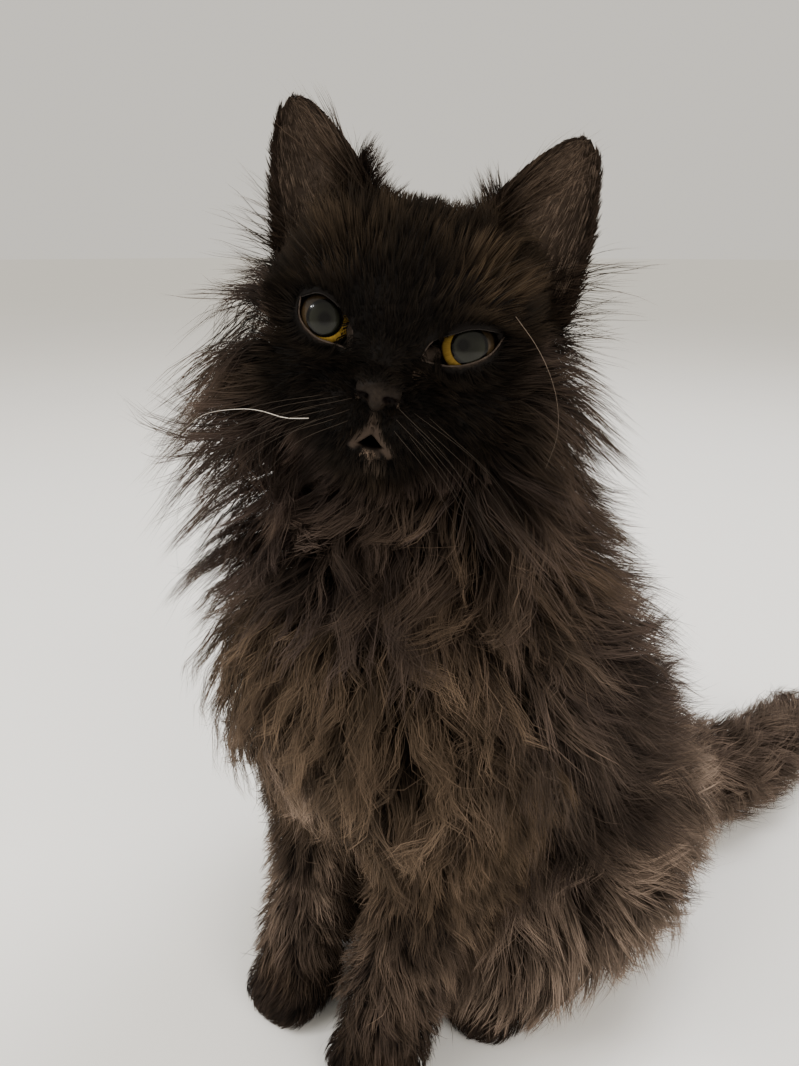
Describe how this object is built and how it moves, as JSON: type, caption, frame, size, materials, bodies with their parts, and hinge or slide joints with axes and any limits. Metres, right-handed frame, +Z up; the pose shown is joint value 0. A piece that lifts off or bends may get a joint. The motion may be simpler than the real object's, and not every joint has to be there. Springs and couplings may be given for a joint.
{
  "type": "persian cat",
  "caption": "Life-size still model of a long-haired, short-faced cat sitting upright, head turned and tilted to its left, fluffy tail laid out behind.",
  "frame": {"origin": "on the floor, under the middle of the part's bounding box", "axes": "+Z up; the cat's body faces -Y and its left side is at +X; the tail runs back along +Y"},
  "size_m": [0.224, 0.4336, 0.3915],
  "materials": {
    "coat": "long soft fur",
    "face": "short soft fur",
    "ear": "thin skin with fine hair",
    "eye": "wet gloss"
  },
  "bodies": {
    "root": {"head": "face", "ear_left": "ear", "ear_right": "ear", "eye_left": "eye", "eye_right": "eye", "neck": "coat", "torso": "coat", "foreleg_left": "coat", "foreleg_right": "coat", "thigh_left": "coat", "thigh_right": "coat", "hind_foot_left": "coat", "hind_foot_right": "coat", "tail_base": "coat", "tail_middle": "coat", "tail_tip": "coat"}
  },
  "joints": []
}
